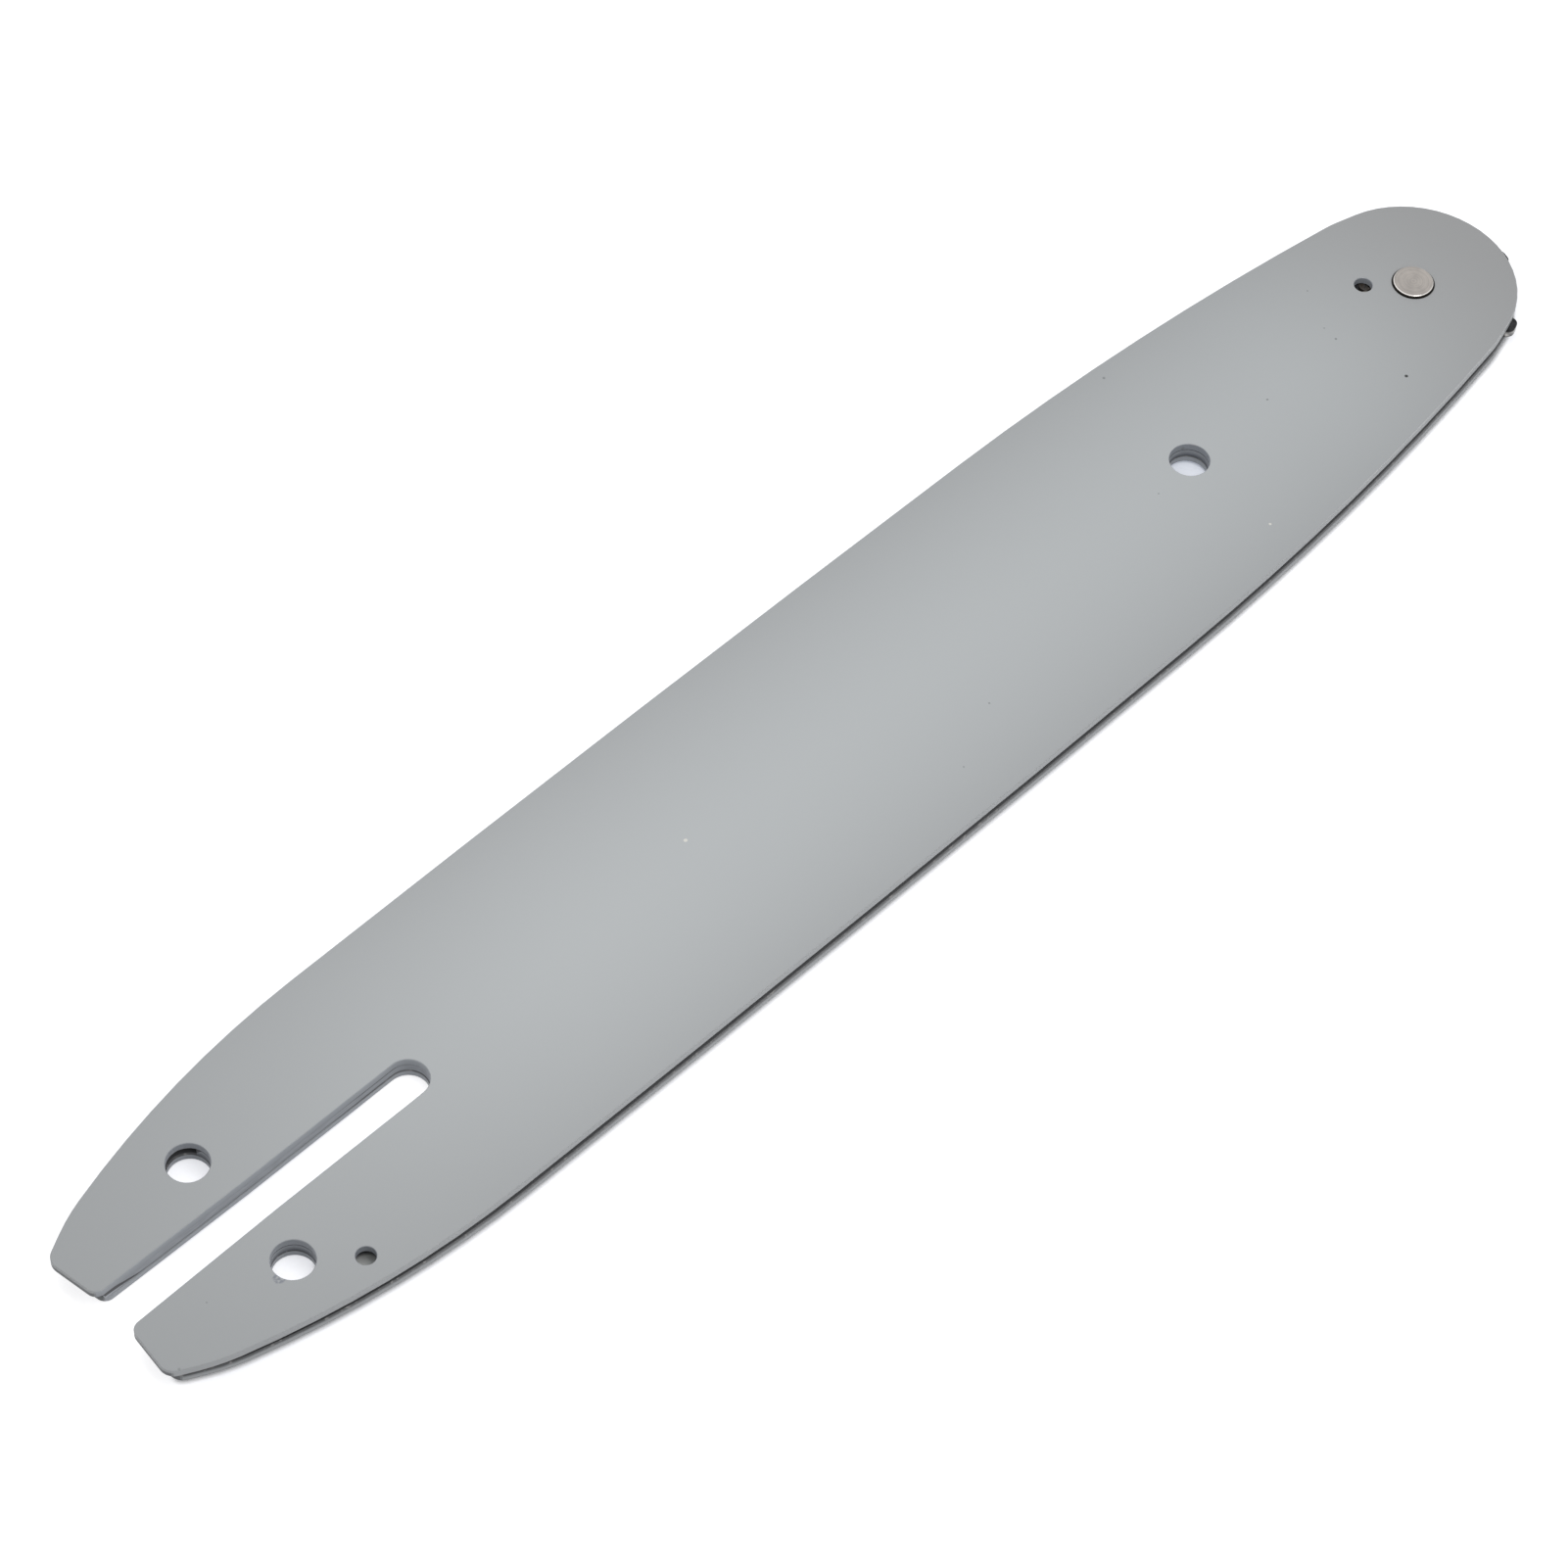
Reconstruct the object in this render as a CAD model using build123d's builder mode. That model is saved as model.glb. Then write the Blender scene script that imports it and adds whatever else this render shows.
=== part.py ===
from build123d import *
from math import acos, asin, degrees, floor, pi, radians, sin, sqrt, tan
import os

os.makedirs("parts", exist_ok=True)

# Driving dimensions, in millimetres

# The chain that runs round the bar: 3/8-inch low-profile
chain_pitch = 9.32
chain_gauge = 1.3
rail_below_chain_rivets = 5.0

# Laminated blade: two side plates on a thinner core
plate_thickness = 1.3
groove_depth = 8.0
rim_bevel = 0.1
lower_groove_bevel = 0.2
hole_rim_bevel = 0.08

# Outline of a side plate: two long rails that taper to the nose and curve in to the tail and its heels
nose_to_tail = 260.7
blade_width = 46.1
nose_to_widest = 127.5
rail_radius = 6235
taper_radius = 522
shoulder_rise = 0.6
shoulder_rounding = 20
tail_radius = 154.5
heel_length = 6.1
heel_width = 29.8
heel_rounding = 30
tail_width = 23.4
tail_slant = 7.5
outer_corner_rounding = 2.2
inner_corner_rounding = 1.6

# The lower plate's prongs are shorter, so their ends stay hidden under the upper ones
lower_tail_set_back = 1.3

# Slot and holes in a side plate
slot_width = 6.05
slot_length = 52.75
mouth_flare = 0.3
mouth_flare_length = 27
hole_diameter = 6.06
adjuster_to_tail = 22.98
adjuster_spacing = 20.6
nose_to_hang = 51.1
oil_to_tail = 30.2
oil_off_centre = 16.4
oil_diameter = 2.84
nose_to_grease = 5.83
grease_off_centre = 5.0
grease_diameter = 2.82

# The core is cut a little wider than the plates at the slot, and ends short of the prongs
core_slot_ease = 0.06
core_set_back = 5.5

# Nose star: seven teeth, turned as it lies in the photograph
tooth_count = 7
tooth_angle = -19
tooth_rise = 0.95
tooth_width = 3.0
tooth_rounding = 1.2
gullet_depth = 6.2
star_side_clearance = 0.1
pocket_clearance = 0.7

# Nose bearing and rivet
race_radius = 6.1
roller_diameter = 2.0
roller_end_clearance = 0.05
running_clearance = 0.02
seat_clearance = 0.02
shank_diameter = 5.2
rivet_head_diameter = 6.1
rivet_head_height = 0.45
rivet_bevel = 0.1
countersink = 0.66

# Heights of the layers
lower_plate_z = rivet_head_height
core_z = lower_plate_z + plate_thickness
upper_plate_z = core_z + chain_gauge
overall_height = upper_plate_z + plate_thickness + rivet_head_height

# Sizes that follow from the chain and the bearing
chain_radius = chain_pitch / (2 * sin(pi / (2 * tooth_count)))
nose_radius = chain_radius - rail_below_chain_rivets
shoulder_half = nose_radius + shoulder_rise
tip_radius = nose_radius + tooth_rise
gullet_bottom = tip_radius - gullet_depth
half_pitch_sine = sin(pi / tooth_count)
gullet_centre = (gullet_bottom - tooth_width / 2) / (1 - half_pitch_sine)
gullet_radius = gullet_centre - gullet_bottom
shank_radius = shank_diameter / 2
roller_radius = roller_diameter / 2
roller_circle = race_radius + running_clearance + roller_radius
star_bore = roller_circle + roller_radius + running_clearance
roller_count = floor(pi / asin(roller_radius / roller_circle))

# Places, measured from the nose axis: x forward, y to the left
slot_half = slot_width / 2
mouth_half = slot_half + mouth_flare
mouth_start = mouth_flare_length - nose_to_tail
hole_radius = hole_diameter / 2
tail_corner = Vector(-nose_to_tail, tail_width / 2)
heel = Vector(heel_length - nose_to_tail, heel_width / 2)
slot_end = Vector(slot_length - nose_to_tail, 0)
left_adjuster = Vector(adjuster_to_tail - nose_to_tail, adjuster_spacing / 2)
right_adjuster = Vector(left_adjuster.X, -adjuster_spacing / 2)
hang_hole = Vector(-nose_to_hang, 0)
oil_x = oil_to_tail - nose_to_tail
shoulder = Vector(0, shoulder_half)
rail_centre = Vector(-nose_to_widest, blade_width / 2 - rail_radius)


def arc_into_rail(radius, end_point, turn):
    """Centre of an arc that starts at end_point and runs smoothly into the rail arc, and where they meet."""
    reach = rail_radius - radius
    span = end_point - rail_centre
    along = (reach**2 - radius**2 + span.length**2) / (2 * span.length)
    aside = sqrt(reach**2 - along**2)
    ahead = span.normalized()
    centre = rail_centre + ahead * along + ahead.rotate(Axis.Z, turn) * aside
    meeting = rail_centre + (centre - rail_centre).normalized() * rail_radius
    return centre, meeting


def arc_height(centre, radius, x):
    """Height of an arc's upper side at a place along the bar."""
    return centre.Y + sqrt(radius**2 - (x - centre.X) ** 2)


def mouth_behind(corner):
    """Where the slanted end of a prong, drawn from its outer corner, meets the slot."""
    return corner.X + (corner.Y - mouth_half) * tan(radians(tail_slant))


def corners_at(profile, x):
    """The two corners of an outline, left and right, that lie at a place along the bar."""
    return profile.vertices().sort_by(lambda corner: abs(corner.X - x))[:2]


# Where the arcs of the outline meet
taper_centre, taper_end = arc_into_rail(taper_radius, shoulder, 90)
tail_centre, tail_start = arc_into_rail(tail_radius, heel, -90)
nose_angle = 90 - degrees(acos(nose_radius / shoulder_half))


def plate_outline(set_back):
    """Side plate about the nose axis, with the slot and through holes, and its tail moved in by set_back."""
    corner = tail_corner + (set_back, 0)
    bend = heel + (set_back, 0)
    bend_end = arc_into_rail(tail_radius, bend, -90)[1]
    mouth = Vector(mouth_behind(corner), mouth_half)
    with BuildSketch() as profile:
        with BuildLine():
            CenterArc(slot_end, slot_half, 0, 90)
            Polyline((slot_end.X, slot_half), (mouth_start, slot_half), mouth, corner, bend)
            RadiusArc(bend, bend_end, tail_radius)
            RadiusArc(bend_end, taper_end, rail_radius)
            RadiusArc(taper_end, shoulder, taper_radius)
            nose_arc = CenterArc((0, 0), nose_radius, 0, nose_angle)
            Line(shoulder, nose_arc @ 1)
            mirror(about=Plane.XZ)
        make_face()
        fillet(corners_at(profile, shoulder.X), shoulder_rounding)
        fillet(corners_at(profile, bend.X), heel_rounding)
        fillet(corners_at(profile, mouth.X), inner_corner_rounding)
        fillet(corners_at(profile, corner.X), outer_corner_rounding)
        with Locations(left_adjuster, right_adjuster, hang_hole):
            Circle(hole_radius, mode=Mode.SUBTRACT)
    return profile.sketch


upper_outline = plate_outline(0)
lower_outline = plate_outline(lower_tail_set_back)

# Core outline: the same rails moved in by the groove, with a round pocket for the star
core_taper = taper_radius - groove_depth
core_rail = rail_radius - groove_depth
core_tail = tail_radius - groove_depth
core_slot_half = slot_half + core_slot_ease
core_end_x = mouth_behind(tail_corner) + core_set_back
core_front = Vector(0, arc_height(taper_centre, core_taper, 0))
core_back = Vector(core_end_x, arc_height(tail_centre, core_tail, core_end_x))
core_taper_end = taper_centre + (taper_end - taper_centre).normalized() * core_taper
core_tail_start = tail_centre + (tail_start - tail_centre).normalized() * core_tail

with BuildSketch() as core_profile:
    with BuildLine():
        CenterArc(slot_end, core_slot_half, 0, 90)
        core_mouth = (core_end_x, mouth_half + core_slot_ease)
        Polyline((slot_end.X, core_slot_half), (mouth_start, core_slot_half), core_mouth, core_back)
        RadiusArc(core_back, core_tail_start, core_tail)
        RadiusArc(core_tail_start, core_taper_end, core_rail)
        RadiusArc(core_taper_end, core_front, core_taper)
        Line(core_front, (0, 0))
        mirror(about=Plane.XZ)
    make_face()
    Circle(tip_radius + pocket_clearance, mode=Mode.SUBTRACT)
    with Locations(left_adjuster, right_adjuster, hang_hole):
        Circle(hole_radius, mode=Mode.SUBTRACT)

# Nose star outline
with BuildSketch() as star_profile:
    Circle(tip_radius)
    with PolarLocations(gullet_centre, tooth_count, start_angle=tooth_angle + 180 / tooth_count):
        Circle(gullet_radius, mode=Mode.SUBTRACT)
    fillet(star_profile.vertices(), tooth_rounding)
    Circle(star_bore, mode=Mode.SUBTRACT)

# The origin is the middle of the bar's length and width, on the ground
tail_reach = -upper_outline.bounding_box().min.X
front_reach = star_profile.sketch.bounding_box().max.X
nose_x = (tail_reach - front_reach) / 2
nose_axis = Axis((nose_x, 0, 0), (0, 0, 1))


def layer(height):
    """Drawing plane at a height, with its origin on the nose axis."""
    return Plane((nose_x, 0, height))


# Side plates: the lower one is turned over, so its small holes change sides, and its prongs are shorter
for node, outline, height, side, groove_bevel in (
    ("upper_side_plate", upper_outline, upper_plate_z, 1, rim_bevel),
    ("lower_side_plate", lower_outline, lower_plate_z, -1, lower_groove_bevel),
):
    with BuildPart() as side_plate:
        with BuildSketch(layer(height)):
            add(outline)
            with Locations((oil_x, -side * oil_off_centre)):
                Circle(oil_diameter / 2, mode=Mode.SUBTRACT)
            with Locations((-nose_to_grease, side * grease_off_centre)):
                Circle(grease_diameter / 2, mode=Mode.SUBTRACT)
            Circle(shank_radius + seat_clearance, mode=Mode.SUBTRACT)
        extrude(amount=plate_thickness)
        by_height = side_plate.faces().sort_by(Axis((0, 0, 0), (0, 0, side)))
        groove_rim = by_height[0].outer_wire().edges()
        outer_rim = by_height[-1].outer_wire().edges()
        inner_hole_rims = by_height[0].edges().filter_by(lambda rim: rim.is_closed).sort_by(Axis.X)
        hole_rims = by_height[-1].edges().filter_by(lambda rim: rim.is_closed).sort_by(Axis.X)
        chamfer(hole_rims[-1], countersink)
        chamfer(hole_rims[:-1], hole_rim_bevel)
        chamfer(inner_hole_rims[:-1], groove_bevel)
        chamfer(outer_rim, rim_bevel)
        chamfer(groove_rim, groove_bevel)
    side_plate.part.label = node
    export_step(side_plate.part, f"parts/{node}.step")

# Core plate: its edges are the floor of the chain groove
with BuildPart() as core_plate:
    with BuildSketch(layer(core_z)):
        add(core_profile.sketch)
    extrude(amount=chain_gauge)
core_plate.part.label = "core_plate"
export_step(core_plate.part, "parts/core_plate.step")

# Nose star
with BuildPart() as nose_sprocket:
    with BuildSketch(layer(core_z + star_side_clearance)):
        add(star_profile.sketch)
    extrude(amount=chain_gauge - 2 * star_side_clearance)
nose_sprocket.part.label = "nose_sprocket"
export_step(nose_sprocket.part, "parts/nose_sprocket.step")

# Bearing race, clamped between the plates
with BuildPart() as bearing_race:
    with BuildSketch(layer(core_z)):
        Circle(race_radius)
        Circle(shank_radius + seat_clearance, mode=Mode.SUBTRACT)
    extrude(amount=chain_gauge)
bearing_race.part.label = "bearing_race"
export_step(bearing_race.part, "parts/bearing_race.step")

# Rollers: as many as fit round the race
for number in range(roller_count):
    node = f"roller_{number + 1:02d}"
    with BuildPart() as roller:
        with BuildSketch(layer(core_z + roller_end_clearance)):
            with PolarLocations(roller_circle, 1, start_angle=number * 360 / roller_count):
                Circle(roller_radius)
        extrude(amount=chain_gauge - 2 * roller_end_clearance)
    roller.part.label = node
    export_step(roller.part, f"parts/{node}.step")

# Nose rivet: a shank that widens into the countersinks and stands a little proud of both plates
head_radius = rivet_head_diameter / 2
face_radius = head_radius - rivet_bevel
flare_height = rivet_head_height + head_radius - shank_radius
with BuildPart() as nose_rivet:
    with BuildSketch(Plane((nose_x, 0, 0), x_dir=(1, 0, 0), z_dir=(0, -1, 0))):
        with BuildLine():
            Polyline(
                (0, 0),
                (face_radius, 0),
                (head_radius, rivet_bevel),
                (head_radius, rivet_head_height),
                (shank_radius, flare_height),
                (shank_radius, overall_height / 2),
                (0, overall_height / 2),
                close=True,
            )
        make_face()
    revolve(axis=nose_axis)
    mirror(about=Plane.XY.offset(overall_height / 2))
nose_rivet.part.label = "nose_rivet"
export_step(nose_rivet.part, "parts/nose_rivet.step")

print("nose axis at x =", round(nose_x, 3), "length", round(tail_reach + front_reach, 3))
print("nose radius", round(nose_radius, 3), "star bore", round(star_bore, 3), "rollers", roller_count)
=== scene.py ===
# %% [markdown]
# A guide bar is the long flat blade that a saw chain runs round. This one is a sandwich: two painted steel side
# plates on a smaller core, with a toothed star on rollers in its nose and one rivet through the lot. The solids come
# ready made from the CAD model and are never moved. This lesson gives each of them its finish, adds the small marks
# that the making leaves, and takes the portrait.

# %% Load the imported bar
import math

import bpy
from mathutils import Matrix, Vector


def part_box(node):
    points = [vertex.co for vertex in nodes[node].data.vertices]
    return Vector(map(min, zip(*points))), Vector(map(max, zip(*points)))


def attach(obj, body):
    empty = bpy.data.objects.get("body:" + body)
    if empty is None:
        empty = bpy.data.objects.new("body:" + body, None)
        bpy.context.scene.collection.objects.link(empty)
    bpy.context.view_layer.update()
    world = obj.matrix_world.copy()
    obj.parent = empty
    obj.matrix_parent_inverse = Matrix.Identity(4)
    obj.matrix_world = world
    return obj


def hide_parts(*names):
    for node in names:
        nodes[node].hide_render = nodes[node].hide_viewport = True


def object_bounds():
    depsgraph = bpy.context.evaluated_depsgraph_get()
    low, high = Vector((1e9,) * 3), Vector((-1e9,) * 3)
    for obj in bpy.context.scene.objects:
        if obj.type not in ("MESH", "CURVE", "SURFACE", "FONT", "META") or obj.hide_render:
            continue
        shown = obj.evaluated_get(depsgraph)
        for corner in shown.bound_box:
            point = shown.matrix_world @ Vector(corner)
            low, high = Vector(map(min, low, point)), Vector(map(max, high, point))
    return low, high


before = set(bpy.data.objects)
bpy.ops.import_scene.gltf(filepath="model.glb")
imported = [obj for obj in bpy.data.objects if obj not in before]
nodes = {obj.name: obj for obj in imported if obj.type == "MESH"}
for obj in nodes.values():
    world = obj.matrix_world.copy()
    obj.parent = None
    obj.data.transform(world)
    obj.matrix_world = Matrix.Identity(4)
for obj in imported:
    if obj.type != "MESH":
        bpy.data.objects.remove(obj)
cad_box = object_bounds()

# %% [markdown]
# Everything below is placed from two things on the bar: the axis of the nose rivet and the painted top face. The CAD
# boxes give both, so nothing has to be typed twice. Sizes are written in millimetres, as on a drawing, and turned into
# Blender's metres by one factor. Values that are typed in have names in capitals, and measured ones in small letters.

# %% Find the nose axis and the top face
MM = 0.001


def box_middle(name):
    """The middle of a solid's box, in metres."""
    low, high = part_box(name)
    return (low + high) / 2


nose_x = box_middle("nose_rivet").x / MM
top_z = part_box("upper_side_plate")[1].z / MM


def on_bar(x, y, above_top=0.0):
    """A point given in millimetres from the nose axis and the top face, in metres in the bar's frame."""
    return Vector((nose_x + x, y, top_z + above_top)) * MM


print(f"nose axis at x = {nose_x:.2f} mm, top face at z = {top_z:.2f} mm")

# %% [markdown]
# A finish is a small graph of shader nodes, and most of it is arithmetic. One class wraps a socket, so that the
# arithmetic can be written as plain Python: `1 - mask` adds the Math node that it needs. Colours are mixed with Mix
# nodes, because a Math node would turn them grey. Every other node comes from one method, `node`.

# %% Wrap a shader socket


class Flow:
    """One output socket of a shader, with Python's operators as Math nodes."""

    def __init__(self, socket):
        self.socket = socket

    def node(self, kind, settings, inputs, out=0):
        """Adds a node to this socket's graph: its settings first, then the values or links of its sockets."""
        made = self.socket.id_data.nodes.new(kind)
        for name, value in settings.items():
            setattr(made, name, value)
        for name, value in inputs.items():
            if isinstance(value, Flow):
                self.socket.id_data.links.new(value.socket, made.inputs[name])
            else:
                made.inputs[name].default_value = value
        return Flow(made.outputs[out])

    def math(self, operation, *values):
        """Adds a Math node that works on the values, in their order."""
        return self.node("ShaderNodeMath", {"operation": operation}, dict(enumerate(values)))

    def __add__(self, other):
        return self.math("ADD", self, other)

    def __sub__(self, other):
        return self.math("SUBTRACT", self, other)

    def __rsub__(self, other):
        return self.math("SUBTRACT", other, self)

    def __mul__(self, other):
        return self.math("MULTIPLY", self, other)

    def __truediv__(self, other):
        return self.math("DIVIDE", self, other)

    def __rtruediv__(self, other):
        return self.math("DIVIDE", other, self)

    def __pow__(self, other):
        return self.math("POWER", self, other)

    def __rpow__(self, other):
        return self.math("POWER", other, self)

    def __abs__(self):
        return self.math("ABSOLUTE", self)

    __radd__ = __add__
    __rmul__ = __mul__

    def ramp(self, start, end):
        """0 where this value is start, 1 where it is end, and smooth between."""
        settings = {"interpolation_type": "SMOOTHSTEP"}
        return self.node("ShaderNodeMapRange", settings, {"Value": self, "From Min": start, "From Max": end})

    def mix(self, first, second):
        """The first colour where this value is 0, the second where it is 1."""
        return self.node("ShaderNodeMix", {"data_type": "RGBA"}, {0: self, 6: first, 7: second}, out=2)


print("arithmetic that can be written on sockets: + - * / ** abs")

# %% [markdown]
# Colours are easiest to judge as the 0 to 255 values that a picture shows. Blender mixes light in linear numbers, so
# one function turns the first into the second. Another starts a finish: it makes the material, and hands back the
# places on the bar, in millimetres from the nose axis and the top face, for patterns to be drawn in. A third feeds the
# finished patterns to the shader.

# %% Start a finish
SCREEN_CURVE = 2.2


def seen(red, green, blue):
    """A colour as a picture shows it, 0 to 255, as Blender's linear colour."""
    return tuple((c / 255) ** SCREEN_CURVE for c in (red, green, blue)) + (1.0,)


def start_finish(name):
    """A new material, its shader, and the place on the bar in millimetres as one vector."""
    finish = bpy.data.materials.new(name)
    finish.use_nodes = True
    shader = finish.node_tree.nodes["Principled BSDF"]
    coordinates = Flow(finish.node_tree.nodes.new("ShaderNodeTexCoord").outputs["Object"])
    place = coordinates.node("ShaderNodeMapping", {}, {
        "Vector": coordinates,
        "Location": (-nose_x, 0, -top_z),
        "Scale": (1 / MM, 1 / MM, 1 / MM),
    })
    return finish, shader, place


def feed(shader, **flows):
    """Links flows, or sets plain values, to the shader's sockets, whose names are written with underscores."""
    for name, value in flows.items():
        socket = shader.inputs[name.replace("_", " ")]
        if isinstance(value, Flow):
            shader.id_data.links.new(value.socket, socket)
        else:
            socket.default_value = value


print("a picture's 181, 185, 188 is", [round(c, 3) for c in seen(181, 185, 188)[:3]], "in linear light")

# %% [markdown]
# Wear and grain come from noise, which is given by the size of its blotches, as one would judge them with a ruler.
# Where a mark belongs to one spot, the place itself is read: one of its coordinates, or how far it is from the axis of
# a hole. Which way the surface faces tells the flat faces from the walls and from the bevels between them.

# %% Read places, normals and noise


def noise(place, size, detail=2.0, stretch=(1, 1, 1)):
    """Soft random shades from 0 to 1 whose blotches are about size millimetres across."""
    vector = place.node("ShaderNodeVectorMath", {"operation": "MULTIPLY"}, {0: place, 1: stretch})
    return place.node("ShaderNodeTexNoise", {}, {"Vector": vector, "Scale": 1 / size, "Detail": detail})


def bump(height, strength, depth):
    """A normal that looks as if the surface rose by depth millimetres where the height is 1."""
    inputs = {"Height": height, "Strength": strength, "Distance": depth * MM}
    return height.node("ShaderNodeBump", {}, inputs)


def coordinate(place, axis):
    """One coordinate of the place, as a value."""
    return place.node("ShaderNodeSeparateXYZ", {}, {"Vector": place}, out="XYZ".index(axis))


def from_axis(place, x, y):
    """How far the place is from an upright axis, such as that of a hole, in the unit of the place."""
    flat = place.node("ShaderNodeVectorMath", {"operation": "MULTIPLY"}, {0: place, 1: (1, 1, 0)})
    return flat.node("ShaderNodeVectorMath", {"operation": "DISTANCE"}, {0: flat, 1: (x, y, 0)}, out=1)


def facing(place, axis):
    """1 where the surface faces along the axis, 0 where it faces across it, -1 where it faces back."""
    return coordinate(place.node("ShaderNodeNewGeometry", {}, {}, out="True Normal"), axis)


def level(place):
    """1 where the surface lies flat, 0 where it stands upright, and about 0.7 on a bevel."""
    return abs(facing(place, "Z"))


print("made", ", ".join(made.__name__ for made in (noise, bump, coordinate, from_axis, facing, level)))

# %% [markdown]
# The side plates are sprayed with a satin light-grey paint over bare steel. It is very even: only up close do the skin
# of the spray, a few dust nibs and a pinhole show. Towards the rails, the nose and the tail the paint's colour is made
# darker: painted shade, where the light falls off. Each of these is a mask between 0 and 1, worked out from the place
# on the bar.

# %% Painted shade towards the rails, nose and tail
RAIL_CURVE = 1.7
NOSE_FADE = (-30, 20)
TAIL_FADE = (-170, -275)

plate_low, plate_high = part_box("upper_side_plate")
half_width = (plate_high.y - plate_low.y) / 2 / MM

paint, shader, place = start_finish("satin_grey_paint")
along, across, height = (coordinate(place, axis) for axis in "XYZ")
# painted shade: the faces darken towards the rails, the nose and the tail
rail_shade = (abs(across) / half_width) ** RAIL_CURVE
nose_shade = along.ramp(*NOSE_FADE)
tail_shade = along.ramp(*TAIL_FADE)
print(f"blade {2 * half_width:.1f} mm wide")

# %% [markdown]
# The slot and the holes go through all three layers. Their walls are painted a shade darker and bluer than the faces:
# painted shade, for the light that hardly reaches into them. A wall is told from a face by its normal, and the cuts are
# told from the rim of the blade by their places.

# %% Walls of the cuts
ROUND_HOLES = [(-237.72, 10.3, 3.03), (-237.72, -10.3, 3.03), (-51.1, 0, 3.03)]
SMALL_HOLES = [(-230.5, -16.4, 1.42), (-5.83, 5.0, 1.41)]
SLOT_END, SLOT_HALF = -207.95, 3.03
SLOT_SIDE_REACH, SLOT_END_REACH, HOLE_REACH = 0.9, 0.6, 0.5
REACH_FADE = 0.3
WALL_LEVELS = (0.85, 0.6)


def any_of(masks):
    """The largest of some masks: 1 where one of them or more is 1."""
    largest = masks[0]
    for mask in masks[1:]:
        largest = largest.math("MAXIMUM", largest, mask)
    return largest


def within(distance, reach):
    """0 where the distance is over the reach, and 1 a little inside it."""
    return distance.ramp(reach, reach - REACH_FADE)


def slot_mask(along, across):
    """1 on the walls of the slot and close to them, 0 elsewhere."""
    beside = within(abs(across), SLOT_HALF + SLOT_SIDE_REACH)
    return beside * within(along, SLOT_END + SLOT_HALF + SLOT_END_REACH)


def hole_mask(place, holes):
    """1 on the walls of the holes, given as (x, y, radius) in millimetres, and close to them, 0 elsewhere."""
    return any_of([within(from_axis(place, x, y), radius + HOLE_REACH) for x, y, radius in holes])


flatness = level(place)
wall = flatness.ramp(*WALL_LEVELS)
in_slot = slot_mask(along, across)
in_cut = any_of([in_slot, hole_mask(place, ROUND_HOLES + SMALL_HOLES)])
# painted shade on the walls of the slot and the holes
shaded_cut_wall = in_cut * wall
print(len(ROUND_HOLES), "round holes,", len(SMALL_HOLES), "small ones and the slot")

# %% [markdown]
# Hardly any spray reached the inside of the chain groove, and it is painted darker still as shade between the plates.
# The lower plate lies in the shelter of the upper one, so its edge is painted darker towards the groove: painted shade.
# In the cuts that painted shade narrows to one fine dark seam. Along the slot paint has bridged most of the seam. It is
# open at the round end, and closed at the mouth. Under the oil hole a pale spot of painted light lies on the floor of
# the groove, where light falls through the hole.

# %% Painted shade in the groove, and its seam
SOFT_EDGE = 0.05
SHADE_REACH = 0.75
SEAM_OUTSIDE, SEAM_INSIDE = 0.34, 0.2
SEAM_BRIDGED = (SLOT_END - 4, SLOT_END - 14)
BRIDGED_SHARE = 0.6
SEAM_CLOSED = (-250, -256)
OIL_SPOT_OUTSIDE, OIL_SPOT_INSIDE = 0.7, 0.1

groove_top = plate_low.z / MM - top_z
groove_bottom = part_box("lower_side_plate")[1].z / MM - top_z
groove_middle = (groove_top + groove_bottom) / 2
groove_half = (groove_top - groove_bottom) / 2


def open_seam(along, in_slot):
    """How far the seam on the lower plate stands open: fully in the holes, partly along the slot."""
    return 1 - in_slot * along.ramp(*SEAM_BRIDGED) * BRIDGED_SHARE


below_middle = groove_middle - height
under_upper = below_middle.ramp(-groove_half - SOFT_EDGE, -groove_half)
# painted shade: the lower plate's edge darkens towards the groove
wide_shade = below_middle.ramp(groove_half + SHADE_REACH, groove_half - SOFT_EDGE)
fine_line = below_middle.ramp(groove_half + SEAM_OUTSIDE, groove_half + SEAM_INSIDE)
seam = fine_line * open_seam(along, in_slot) * (1 - in_slot * along.ramp(*SEAM_CLOSED))
# painted shade in the groove and down the lower plate's edge; in the cuts only the dark seam
groove_shade_and_seam = under_upper * (wide_shade + in_cut * (seam - wide_shade))

oil_x, oil_y, oil_radius = SMALL_HOLES[0]
from_oil_hole = from_axis(place, oil_x, oil_y)
# painted light: a pale spot on the groove floor under the oil hole
oil_hole_light = from_oil_hole.ramp(oil_radius + OIL_SPOT_OUTSIDE, oil_radius + OIL_SPOT_INSIDE)
print(f"groove from {-groove_top:.2f} to {-groove_bottom:.2f} mm below the top face")

# %% [markdown]
# Nibs are grains of dust under the paint, and the pinhole is where the paint drew back from a speck of oil. On the real
# bar they are few, so each gets its own place. One dark spot, on the wall of the hang hole, is painted shade in a small
# notch. A little noise keeps their outlines ragged. The punch left a crumbled burr at the rim of one adjuster hole,
# where the paint has broken away in specks.

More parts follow.
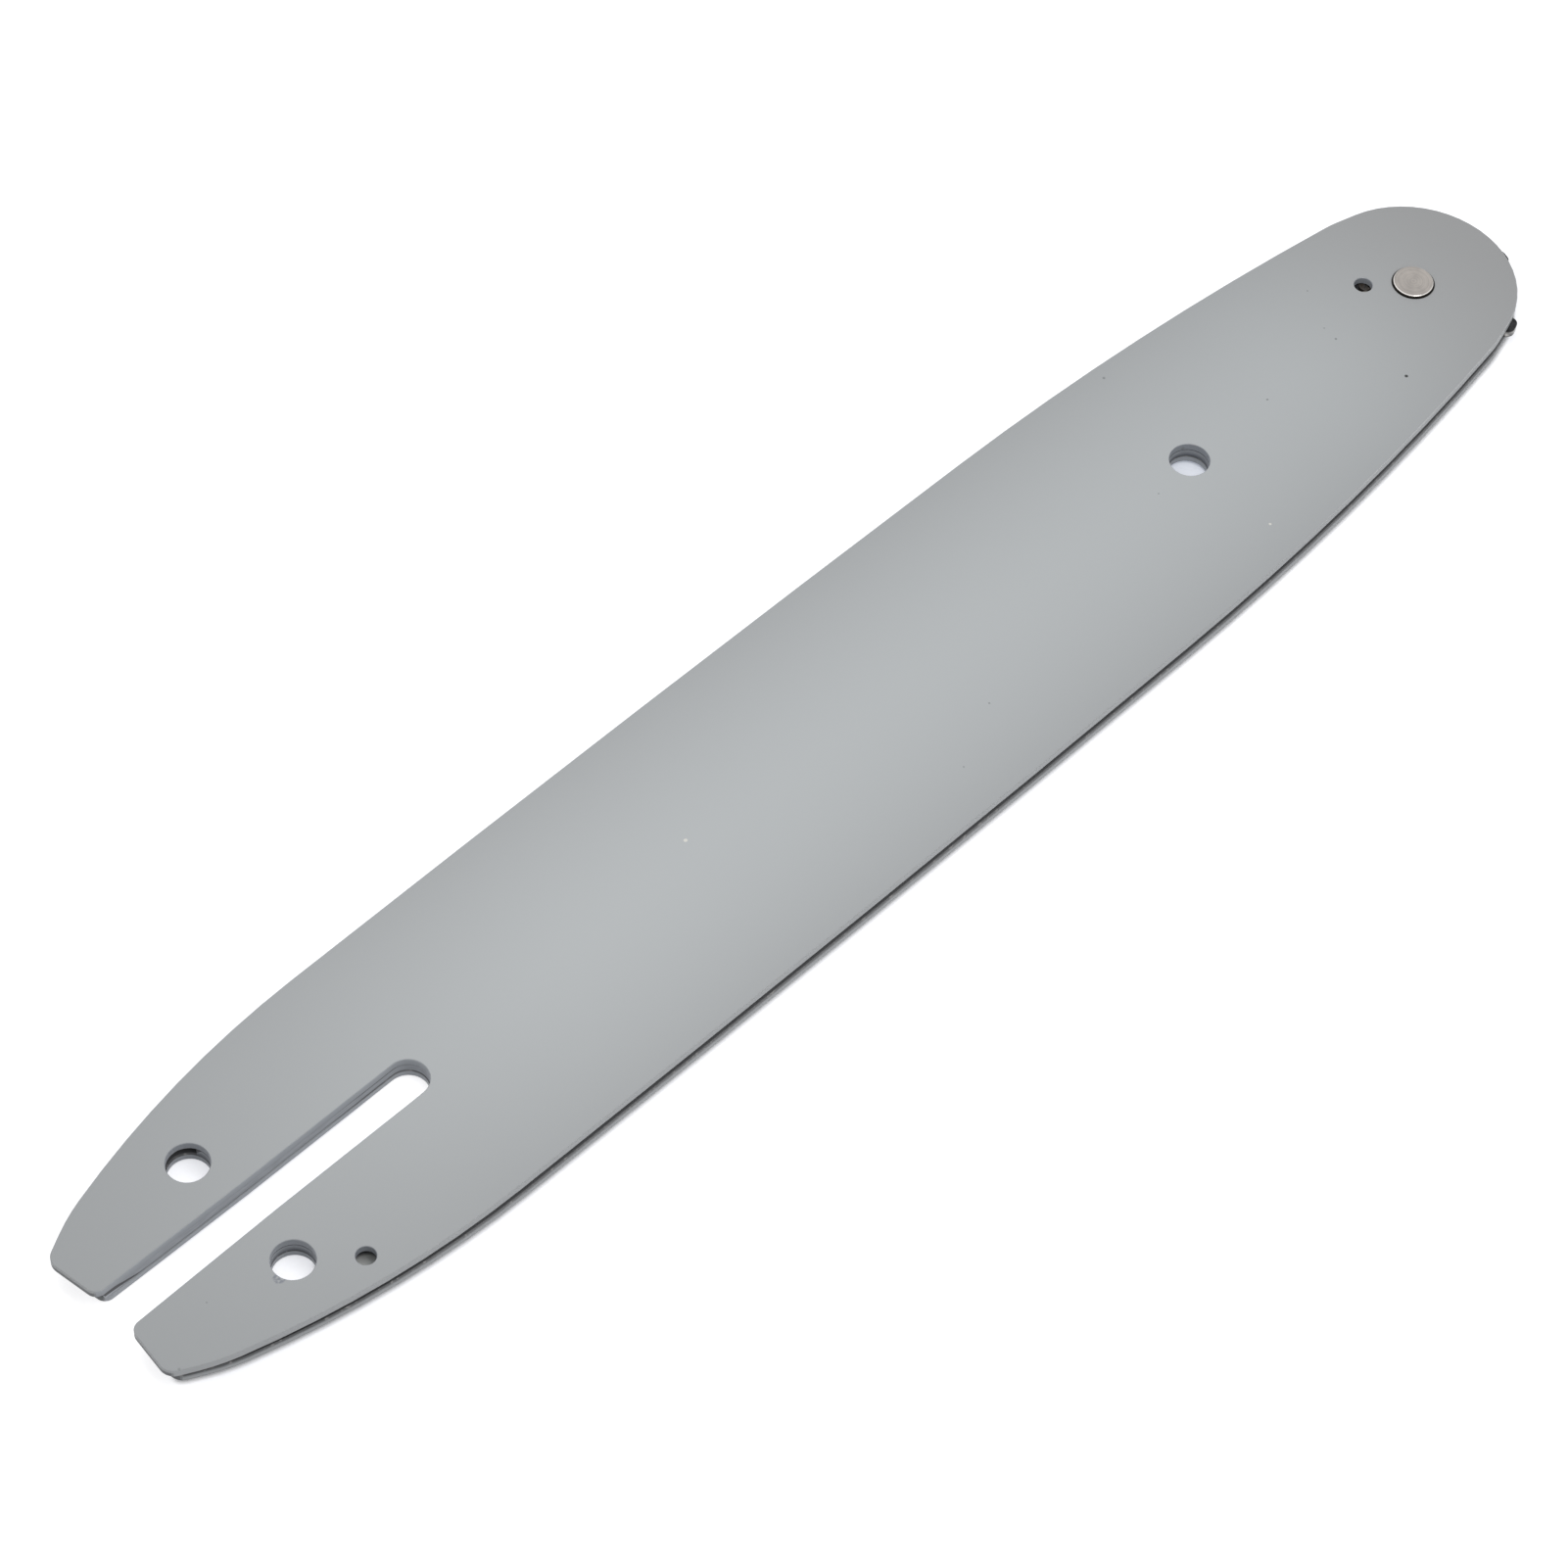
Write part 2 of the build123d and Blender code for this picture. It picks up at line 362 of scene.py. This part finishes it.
# %% Nibs, a pinhole, a burr and painted shade in a notch
PINHOLES = [(-15.14, -11.50, 0, 0.28)]
LIGHT_NIBS = [(-153.57, 2.20, 0, 0.30), (-51.67, -16.35, 0, 0.22)]
DARK_NIBS_AND_NOTCH_SHADE = [
    (-48.54, 19.52, 0, 0.24),
    (-17.23, 0.68, 0, 0.20),
    (-33.88, -0.17, 0, 0.18),
    (-105.58, -10.52, 0, 0.15),
    (-16.88, 3.33, 0, 0.13),
    (-13.01, 10.03, 0, 0.13),
    (-116.4, -15.75, 0, 0.13),
    (-59.28, -1.2, 0, 0.13),
    (-250.02, -7.35, 0, 0.13),
    (-259.05, -12.3, 0, 0.2),
    # painted shade: this spot on the wall of the hang hole stands for the shade in a small notch
    (-49.6, 2.6, -0.9, 0.3),
]
BURRS = [(-240.85, -11.1, 0, 0.9)]
RAGGED = 0.12
SPOT_OUTSIDE, SPOT_INSIDE = 1.15, 0.75
CRUMBS = (0.44, 0.54)


def spots(place, middles):
    """1 inside small ragged spots, given as (x, y, z, radius) in millimetres, and 0 elsewhere."""
    wobble = (noise(place, size=0.3) - 0.5) * RAGGED
    masks = []
    for x, y, z, radius in middles:
        away = place.node("ShaderNodeVectorMath", {"operation": "DISTANCE"}, {0: place, 1: (x, y, z)}, out=1)
        masks.append((away + wobble).ramp(radius * SPOT_OUTSIDE, radius * SPOT_INSIDE))
    return any_of(masks)


pinhole = spots(place, PINHOLES)
light_nibs = spots(place, LIGHT_NIBS)
dark_nibs_and_notch_shade = spots(place, DARK_NIBS_AND_NOTCH_SHADE)
burr = spots(place, BURRS) * noise(place, size=0.4, detail=3).ramp(*CRUMBS)
print(len(DARK_NIBS_AND_NOTCH_SHADE), "dark nibs,", len(LIGHT_NIBS), "light,", len(PINHOLES), "pinhole and", len(BURRS), "burr")

# %% [markdown]
# The bevels along the edges have lost specks of paint to handling, and bare steel shows there. On one side of the nose
# a highlight is painted along the edge. The countersink round the rivet is painted dark as shade, and so is the foot of
# the wall at the ends of the prongs, which is told from the other walls by facing back.

# %% Worn edges, a painted highlight, and painted shade at the prong ends and the countersink
BEVEL_LEVEL = 0.7
BEVEL_SPREAD = (0.2, 0.1)
WORN_SPECKS = (0.56, 0.66)
# where a highlight is painted along the nose edge
BRIGHT_ALONG, BRIGHT_ACROSS, BRIGHT_HEIGHT = (-70, -20), (-4, -9), (-0.5, -0.3)
PRONG_FACING, PRONG_ENDS, PRONG_FOOT = (-0.6, -0.85), (-253, -255), (-0.1, -0.7)
COUNTERSINK = (3.36, 3.27)


def bevel_mask(flatness):
    """1 on the bevels along the edges, 0 on the faces and on the walls."""
    return abs(flatness - BEVEL_LEVEL).ramp(*BEVEL_SPREAD)


bevel = bevel_mask(flatness)
worn = bevel * noise(place, size=0.9, detail=4).ramp(*WORN_SPECKS)
# painted highlight along the bevel on one side of the nose
nose_edge_highlight = bevel * along.ramp(*BRIGHT_ALONG) * across.ramp(*BRIGHT_ACROSS) * height.ramp(*BRIGHT_HEIGHT)
prong_end = wall * facing(place, "X").ramp(*PRONG_FACING) * along.ramp(*PRONG_ENDS)
# painted shade at the foot of the prong ends
prong_foot_shade = prong_end * height.ramp(*PRONG_FOOT)
# painted shade in the countersink round the rivet
countersink = from_axis(place, 0, 0).ramp(*COUNTERSINK)
print("countersink", COUNTERSINK[0], "mm in radius, prong ends from", PRONG_ENDS[0], "mm")

# %% [markdown]
# The painted shade on a wall in a cut isn't one grey. In the slot it lightens towards the top face, and on the lower
# plate it is paler than on the upper one. The shade painted on the steel in the groove darkens towards the tail. These
# shades are mixed first, so that each can be laid on as one layer.

# %% Painted shade for the cuts and the groove
# painted shade for the walls of the cuts, lighter near the top of the slot and on the lower plate
CUT_SHADE_GREY = seen(156, 161, 168)
SLOT_SHADE_GREY = seen(171, 176, 182)
LOWER_CUT_SHADE_GREY = seen(178, 182, 188)
# bare steel in painted shade in the groove, deeper towards the tail
GROOVE_STEEL_IN_SHADE = seen(112, 113, 115)
TAIL_GROOVE_SHADE = seen(88, 89, 91)
# painted light under the oil hole
OIL_HOLE_LIGHT_GREY = seen(206, 208, 206)
SLOT_BRIGHTENS = (-1.5, -0.1)
LOWER_PLATE = (-0.1, 0.1)
GROOVE_DARKENS = (-215, -245)

upper_cut_shade = (in_slot * height.ramp(*SLOT_BRIGHTENS)).mix(CUT_SHADE_GREY, SLOT_SHADE_GREY)
cut_wall_shade = below_middle.ramp(*LOWER_PLATE).mix(upper_cut_shade, LOWER_CUT_SHADE_GREY)
groove_steel_in_shade = along.ramp(*GROOVE_DARKENS).mix(GROOVE_STEEL_IN_SHADE, TAIL_GROOVE_SHADE)
groove_floor = oil_hole_light.mix(groove_steel_in_shade, OIL_HOLE_LIGHT_GREY)
print("the slot brightens over the top", -SLOT_BRIGHTENS[0], "mm")

# %% [markdown]
# The masks now lay the colours over each other, from the ones that cover most to the ones that cover least. Roughness
# drifts a little in wide clouds, and the bump is the fine orange-peel skin of the spray.

# %% Paint for the side plates
GREY = seen(184, 188, 190)
# painted shade towards the rails, the nose and the tail
RAIL_SHADE_GREY = seen(168, 171, 173)
NOSE_SHADE_GREY = seen(163, 164, 165)
TAIL_SHADE_GREY = seen(160, 163, 165)
EDGE_GREY = seen(175, 178, 180)
# painted shade
FOOT_SHADE_GREY = seen(78, 81, 84)
# painted shade in the countersink
COUNTERSINK_SHADE_GREY = seen(62, 60, 58)
# dark nibs, and painted shade in a notch
DARK_NIB_AND_SHADE_GREY = seen(140, 144, 145)
BURR_GREY = seen(112, 117, 130)
LIGHT_NIB_GREY = seen(222, 220, 214)
PINHOLE_GREY = seen(60, 62, 63)
WORN_STEEL = seen(150, 149, 148)
# painted highlight
PAINTED_HIGHLIGHT = seen(238, 239, 240)
BURR_SHARE, WORN_SHARE, BRIGHT_SHARE = 0.7, 0.6, 0.35
SATIN = 0.46


def layered(colour, layers):
    """The colour with each layer's shade laid over it in turn, where the layer's mask is 1."""
    for mask, shade in layers:
        colour = mask.mix(colour, shade)
    return colour


paint_colour = layered(rail_shade.mix(GREY, RAIL_SHADE_GREY), [
    (nose_shade, NOSE_SHADE_GREY),
    (tail_shade, TAIL_SHADE_GREY),
    (wall, EDGE_GREY),
    (shaded_cut_wall, cut_wall_shade),
    (groove_shade_and_seam, groove_floor),
    (prong_foot_shade, FOOT_SHADE_GREY),
    (countersink, COUNTERSINK_SHADE_GREY),
    (dark_nibs_and_notch_shade, DARK_NIB_AND_SHADE_GREY),
    (burr * BURR_SHARE, BURR_GREY),
    (light_nibs, LIGHT_NIB_GREY),
    (pinhole, PINHOLE_GREY),
    (worn * WORN_SHARE, WORN_STEEL),
    (nose_edge_highlight * BRIGHT_SHARE, PAINTED_HIGHLIGHT),
])
cloud = noise(place, size=30, detail=3)
skin = noise(place, size=0.35)
feed(
    shader,
    Base_Color=paint_colour,
    Metallic=worn * WORN_SHARE,
    Roughness=SATIN + (cloud - 0.5) * 0.08 - worn * 0.1,
    Normal=bump(skin + light_nibs * 2 + burr * 2 - pinhole * 3 - worn, strength=0.12, depth=0.02),
)
for name in ("upper_side_plate", "lower_side_plate"):
    nodes[name].data.materials[0] = paint
print("painted both side plates in", paint.name)

# %% [markdown]
# The core was sheared from sheet and sprayed along with the plates, so only its edges carry paint, thin and rough over
# the torn steel. It is seen in the slot and in the holes, as the middle band. The paint stops short of the plates and
# leaves a dark seam. At the top of the band it is open at the round end of the slot. Beside the groove, where the core
# stands back, the band is painted dark from its top over most of its height: painted shade. At the mouth of the slot a
# wedge of painted shade climbs from the foot of the band to its top, and the band is paler below it. Heights on the
# band are counted as shares, from 0 at the upper plate to 1 at the lower one.

# %% Seams and painted shade along the core
CORE_SLOT_END = (SLOT_END - 12, SLOT_END - 4)
CORE_PAST_END = (SLOT_END + 1.5, SLOT_END)
GAP_OUTSIDE, GAP_INSIDE = 0.3, 0.1
GAP_SIDE = (10.8, 12.3)
SEAM_SPREAD = (-0.06, 0.04)
TOP_SEAM, GAP_SHADE, END_SEAM = 0.02, 0.9, 0.12
FOOT_SEAM = 0.96
MOUTH = (-251, -258)
WEDGE_FOOT, WEDGE_CLIMB = 1.05, 0.8
WEDGE_HALF, WEDGE_WIDENS = 0.06, 0.24
WEDGE_SPREAD = (0.08, -0.02)
PALE_SPREAD = (0, 0.1)

core_coat, shader, place = start_finish("thin_paint_on_sheared_core")
along, across, height = (coordinate(place, axis) for axis in "XYZ")
below_upper = (groove_top - height) / (groove_top - groove_bottom)
in_slot = slot_mask(along, across)

hole_x, hole_y, hole_radius = ROUND_HOLES[0]
from_hole = from_axis(place, hole_x, hole_y)
at_gap = from_hole.ramp(hole_radius + GAP_OUTSIDE, hole_radius + GAP_INSIDE) * across.ramp(*GAP_SIDE)
at_slot_end = in_slot * along.ramp(*CORE_SLOT_END) * along.ramp(*CORE_PAST_END)
# painted shade: beside the groove the band is dark from its top over most of its height
top_seam_and_gap_shade = (at_gap * GAP_SHADE + at_slot_end * END_SEAM + TOP_SEAM - below_upper).ramp(*SEAM_SPREAD)
foot_seam = (below_upper - FOOT_SEAM).ramp(*SEAM_SPREAD) * open_seam(along, in_slot)

at_mouth = in_slot * along.ramp(*MOUTH)
wedge_half = WEDGE_HALF + at_mouth * WEDGE_WIDENS
under_wedge = below_upper - (WEDGE_FOOT - at_mouth * WEDGE_CLIMB)
# painted shade: a dark wedge climbs the band at the mouth of the slot
wedge_shade = (abs(under_wedge) - wedge_half).ramp(*WEDGE_SPREAD)
pale = (under_wedge - wedge_half).ramp(*PALE_SPREAD) * at_mouth
print("the crack climbs between", MOUTH[0], "and", MOUTH[1], "mm")

# %% [markdown]
# Shearing leaves lines along the sheet, so the noise that tears the paint is stretched that way. In the round holes the
# band darkens towards its foot. The seams are bare dark steel, the painted shade beside the groove and at the mouth
# takes the same dark grey, and these lie over everything else.

# %% Thin paint for the core
TORN_GREY, SHEARED_GREY = seen(158, 162, 168), seen(178, 182, 188)
HOLE_FOOT_GREY = seen(104, 108, 116)
PALE_GREY = seen(190, 194, 200)
# bare steel for the seams, and the same dark grey for painted shade
SEAM_STEEL_AND_SHADE = seen(70, 71, 74)
SHEAR_STRETCH = (0.12, 0.12, 1)
STREAKS = (0.3, 0.7)
HOLE_DARKENS = (0.2, 0.95)
CORE_ROUGHNESS = 0.55

streaks = noise(place, size=0.3, detail=4, stretch=SHEAR_STRETCH)
core_colour = layered(streaks.ramp(*STREAKS).mix(TORN_GREY, SHEARED_GREY), [
    (hole_mask(place, ROUND_HOLES) * below_upper.ramp(*HOLE_DARKENS), HOLE_FOOT_GREY),
    (pale, PALE_GREY),
    (any_of([wedge_shade, top_seam_and_gap_shade, foot_seam]), SEAM_STEEL_AND_SHADE),
])
feed(
    shader,
    Base_Color=core_colour,
    Roughness=CORE_ROUGHNESS + streaks * 0.1,
    Normal=bump(streaks, strength=0.3, depth=0.03),
)
nodes["core_plate"].data.materials[0] = core_coat
print("painted the core in", core_coat.name)

# %% [markdown]
# On the real bar the core reaches almost to the ends of the prongs. The solid stops a few millimetres short of them, so
# a copy with its last corners drawn back stands for it here. Only the corners at the very tail are moved.

# %% Core drawn back to the prongs
CORE_REACH = 4.0
TAIL_DEPTH = 0.1

core_mesh = nodes["core_plate"].data.copy()
tail_x = min(vertex.co.x for vertex in core_mesh.vertices)
tail_corners = [vertex for vertex in core_mesh.vertices if vertex.co.x < tail_x + TAIL_DEPTH * MM]
for vertex in tail_corners:
    vertex.co.x -= CORE_REACH * MM
core = bpy.data.objects.new("core_to_the_prongs", core_mesh)
bpy.context.scene.collection.objects.link(core)
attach(core, "bar")
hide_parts("core_plate")
print("moved", len(tail_corners), "corners of the core back by", CORE_REACH, "mm")

# %% [markdown]
# The rivet is left bare. After it was closed its face was ground flat with a spinning cup wheel, which leaves faint
# rings and a warm grey sheen. Noise along the distance from the axis alone draws rings, and a second noise across the
# face breaks them up, so that they look ground and not turned. The bevel round the face is polished, and a highlight is
# painted on it. The side is painted dark as shade.

# %% Ground steel for the rivet
RING_DARK, RING_LIGHT = seen(158, 153, 149), seen(182, 176, 170)
# polished bevel, painted brighter as a highlight
POLISHED_AND_HIGHLIGHT = seen(236, 232, 228)
# painted shade on the side of the head
RIVET_SIDE_SHADE = seen(78, 74, 70)
RING_SHARE, PATCH_SHARE = 0.6, 0.4
RING_SPREAD = (0.35, 0.65)
SIDE_LEVELS = (0.4, 0.2)

ground_steel, shader, place = start_finish("ground_rivet_steel")
radius = from_axis(place, 0, 0)
ring_place = radius.node("ShaderNodeCombineXYZ", {}, {"X": radius})
patches = noise(place, size=1.6, detail=3)
rings = noise(ring_place, size=0.22, detail=3) * RING_SHARE + patches * PATCH_SHARE
flatness = level(place)
# polished bevel with a painted highlight
rim = bevel_mask(flatness)
# painted shade on the side of the head
side = flatness.ramp(*SIDE_LEVELS)
feed(
    shader,
    Base_Color=layered(rings.ramp(*RING_SPREAD).mix(RING_DARK, RING_LIGHT), [(rim, POLISHED_AND_HIGHLIGHT), (side, RIVET_SIDE_SHADE)]),
    Metallic=0.55 + rim * 0.4,
    Roughness=0.36 + patches * 0.16 - rim * 0.15,
    Normal=bump(rings, strength=0.2, depth=0.02),
)
nodes["nose_rivet"].data.materials[0] = ground_steel
print("left the rivet in", ground_steel.name)

# %% [markdown]
# The star is hardened and left dark and oily from the quench. Its flat faces keep their scale. The flanks of the teeth
# are rubbed softly bright, most along the middle of their height, where the links of a chain first touch them.

# %% Dark hardened steel for the star
SCALE_DARK, SCALE_LIGHT = seen(44, 44, 46), seen(72, 72, 74)
RUBBED_STEEL = seen(184, 182, 178)
SCALE_SPREAD = (0.3, 0.75)
FLANK_LEVELS = (0.6, 0.3)
RUBBED_HEIGHT = (0.62, 0.2)
RUBBED_PATCHES = (0.1, 0.5)

hard_steel, shader, place = start_finish("dark_hardened_steel")
scale = noise(place, size=0.8, detail=5)
off_middle = abs(coordinate(place, "Z") - groove_middle)
flank = level(place).ramp(*FLANK_LEVELS) * off_middle.ramp(*RUBBED_HEIGHT)
rubbed = flank * noise(place, size=2.5, detail=1).ramp(*RUBBED_PATCHES)
feed(
    shader,
    Base_Color=rubbed.mix(scale.ramp(*SCALE_SPREAD).mix(SCALE_DARK, SCALE_LIGHT), RUBBED_STEEL),
    Metallic=0.7 + rubbed * 0.3,
    Roughness=0.34 + scale * 0.2 - rubbed * 0.16,
    Normal=bump(scale, strength=0.2, depth=0.03),
)
nodes["nose_sprocket"].data.materials[0] = hard_steel
print("left the star in", hard_steel.name)

# %% [markdown]
# The race and the rollers are ground bearing steel under brown grease. They show only through the grease hole.

# %% Greased bearing steel
BEARING_GREY, GREASE_BROWN = seen(112, 108, 104), seen(62, 54, 46)
GREASE_SPREAD = (0.4, 0.65)

bearing_steel, shader, place = start_finish("greased_bearing_steel")
grease = noise(place, size=1.2, detail=3).ramp(*GREASE_SPREAD)
feed(
    shader,
    Base_Color=grease.mix(BEARING_GREY, GREASE_BROWN),
    Metallic=1 - grease * 0.8,
    Roughness=0.2 + grease * 0.25,
)
rollers = [name for name in nodes if name.startswith("roller_")]
for name in ["bearing_race"] + rollers:
    nodes[name].data.materials[0] = bearing_steel
print("greased the race and", len(rollers), "rollers")

# %% [markdown]
# The studio is a white table under a white sky. The table really is lit by the lamp and the sky, so it carries the
# bar's shadow. A little light of its own, that only the camera, mirrors and glass see, lifts it to the plain white of
# a product picture without sending any more light to the bar. Light Path tells these rays from the others.

# %% Rays that look
LOOKING_RAYS = ("Is Camera Ray", "Is Glossy Ray", "Is Transmission Ray")


def rays_that_look(start):
    """1 for rays from the camera, a mirror or glass, and 0 for rays that carry light to a surface."""
    path = start.node("ShaderNodeLightPath", {}, {}).socket.node
    return any_of([Flow(path.outputs[name]) for name in LOOKING_RAYS])


print("rays that look:", ", ".join(LOOKING_RAYS))

# %% [markdown]
# The table's own light isn't the same everywhere. Under the hang hole, deep between the plates, it is left in the
# shade, and round the prongs and the end of the slot, where the light comes in from the open side, it is lifted a
# little more. Close along the near edge of the blade the bar shuts the light out, and the table darkens into the
# contact. Ambient Occlusion finds how close the bar is.

# %% Paint for the table
TABLE_PAINT = (0.8, 0.8, 0.81, 1.0)
TABLE_LIFT = 0.64
SHADE_TINT = (0.95, 0.96, 1.0, 1.0)
HANG_HOLE_SHADE = (0.42, 0.46, 0.54, 1.0)
HANG_HOLE_SEEN = (-48, 2)
HANG_HOLE_OUTSIDE, HANG_HOLE_INSIDE = 7, 5
OPEN_LIGHT = (1.16, 1.16, 1.17, 1.0)
LIGHT_PATCHES = [(-267, 1, 22), (-206, 2, 9)]
CONTACT_REACH = 0.7
CONTACT_SAMPLES = 3
CONTACT_SHADE = (0.0, 0.0, 0.0, 1.0)
CONTACT_DEPTH, NOSE_DEEPER = 2.0, 2.2
NEAR_SIDE = (-10, -12)
NOSE_SIDE = (-95, -50)

table_white = bpy.data.materials.new("white_table")
table_white.use_nodes = True
tree = table_white.node_tree
tree.nodes.clear()
output = tree.nodes.new("ShaderNodeOutputMaterial")
matt = Flow(tree.nodes.new("ShaderNodeBsdfDiffuse").outputs[0])
matt.socket.node.inputs["Color"].default_value = TABLE_PAINT
floor_place = matt.node("ShaderNodeTexCoord", {}, {}, out="Object")


def floor_patch(x, y, outside, inside):
    """1 on the table inside a round patch, given in millimetres on the bar, and 0 outside it."""
    middle = on_bar(x, y)
    return from_axis(floor_place, middle.x, middle.y).ramp(outside * MM, inside * MM)


under_hang_hole = floor_patch(*HANG_HOLE_SEEN, HANG_HOLE_OUTSIDE, HANG_HOLE_INSIDE)
open_share = matt.node(
    "ShaderNodeAmbientOcclusion", {"samples": CONTACT_SAMPLES}, {"Distance": CONTACT_REACH * MM}, out="AO"
)
near_side = coordinate(floor_place, "Y").ramp(*(y * MM for y in NEAR_SIDE))
toward_nose = coordinate(floor_place, "X").ramp(*(on_bar(x, 0).x for x in NOSE_SIDE))
contact = near_side * (1 - open_share) * (CONTACT_DEPTH + toward_nose * NOSE_DEEPER)
tint = layered(
    under_hang_hole.mix(SHADE_TINT, HANG_HOLE_SHADE),
    [(floor_patch(x, y, reach, reach / 2), OPEN_LIGHT) for x, y, reach in LIGHT_PATCHES] + [(contact, CONTACT_SHADE)],
)
glow = matt.node("ShaderNodeEmission", {}, {"Color": tint, "Strength": rays_that_look(matt) * TABLE_LIFT})
both = matt.node("ShaderNodeAddShader", {}, {0: matt, 1: glow})
tree.links.new(both.socket, output.inputs["Surface"])
print("table lifted by", TABLE_LIFT, "with", len(LIGHT_PATCHES), "lighter patches")

# %% [markdown]
# The table is one square face that reaches far past the picture. It belongs to the stage and not to the bar. The sky
# is one plain white. It lights the bar dimly from all sides, and shows as full white to the rays that look.

# %% White table and sky
TABLE_SIZE = 6.0
SKY_LIGHT = 0.4
SKY_WHITE = (1.0, 1.0, 1.0, 1.0)

table_mesh = bpy.data.meshes.new("table")
half = TABLE_SIZE / 2
table_mesh.from_pydata([(-half, -half, 0), (half, -half, 0), (half, half, 0), (-half, half, 0)], [], [(0, 1, 2, 3)])
table_mesh.materials.append(table_white)
table = bpy.data.objects.new("table", table_mesh)
bpy.context.scene.collection.objects.link(table)

sky = bpy.data.worlds.new("white_sky")
sky.use_nodes = True
bpy.context.scene.world = sky
backdrop = sky.node_tree.nodes["Background"]
backdrop.inputs["Color"].default_value = SKY_WHITE
looking = rays_that_look(Flow(backdrop.outputs[0]))
sky.node_tree.links.new((SKY_LIGHT + looking * (1 - SKY_LIGHT)).socket, backdrop.inputs["Strength"])
print("table", TABLE_SIZE, "m wide, sky at", SKY_LIGHT)

# %% [markdown]
# One large soft lamp hangs over the middle of the blade. It is close enough that the light falls off towards the nose
# and the tail, as it does on the real bar, and soft enough that it throws no hard edge.

# %% Soft lamp over the blade
LAMP_HEIGHT = 330
LAMP_ALONG = -125
LAMP_LENGTH = 900
LAMP_WIDTH = 200
LAMP_WATTS = 1.06

lamp = bpy.data.lights.new("soft_box", "AREA")
lamp.shape = "RECTANGLE"
lamp.size = LAMP_WIDTH * MM
lamp.size_y = LAMP_LENGTH * MM
lamp.energy = LAMP_WATTS
lamp_object = bpy.data.objects.new("soft_box", lamp)
lamp_object.location = on_bar(LAMP_ALONG, 0, LAMP_HEIGHT)
lamp_object.visible_camera = False
bpy.context.scene.collection.objects.link(lamp_object)
print("lamp", LAMP_HEIGHT, "mm above the blade")

# %% [markdown]
# The camera stands behind the tail, to the right of the blade as it runs from tail to nose, and looks down at about 53
# degrees through a long lens, as for a product picture. The place was worked out from the holes, the slot and the
# edges of the real bar. The picture is square and the lens looks straight through its middle, so no shift is needed.

# %% Camera
CAMERA_PLACE = (-447.356, -274.634, 558.083)
AIM = (-136.793, -0.412, 0)
ROLL = 3.919
FOCAL_LENGTH = 114.198
SENSOR_WIDTH = 36
NEAREST = 10

view = bpy.data.cameras.new("portrait")
view.sensor_width = SENSOR_WIDTH
view.lens = FOCAL_LENGTH
view.clip_start = NEAREST * MM
camera = bpy.data.objects.new("portrait", view)
stand, aim = on_bar(*CAMERA_PLACE), on_bar(*AIM)
turn = (aim - stand).to_track_quat("-Z", "Y").to_matrix() @ Matrix.Rotation(math.radians(ROLL), 3, "Z")
camera.matrix_world = Matrix.Translation(stand) @ turn.to_4x4()
bpy.context.scene.collection.objects.link(camera)
bpy.context.scene.camera = camera
bpy.context.scene.view_settings.view_transform = "Standard"
print(f"camera {(aim - stand).length / MM:.0f} mm from the blade, lens {FOCAL_LENGTH} mm")

# %% [markdown]
# Last, the box of the CAD solids, kept when the bar was loaded, is printed. Nothing that was added here reaches past
# the solids.

# %% Print the CAD box, and finish
cad_low, cad_high = cad_box
print("CAD box, mm:", ", ".join(f"{(high - low) / MM:.2f}" for low, high in zip(cad_low, cad_high)))
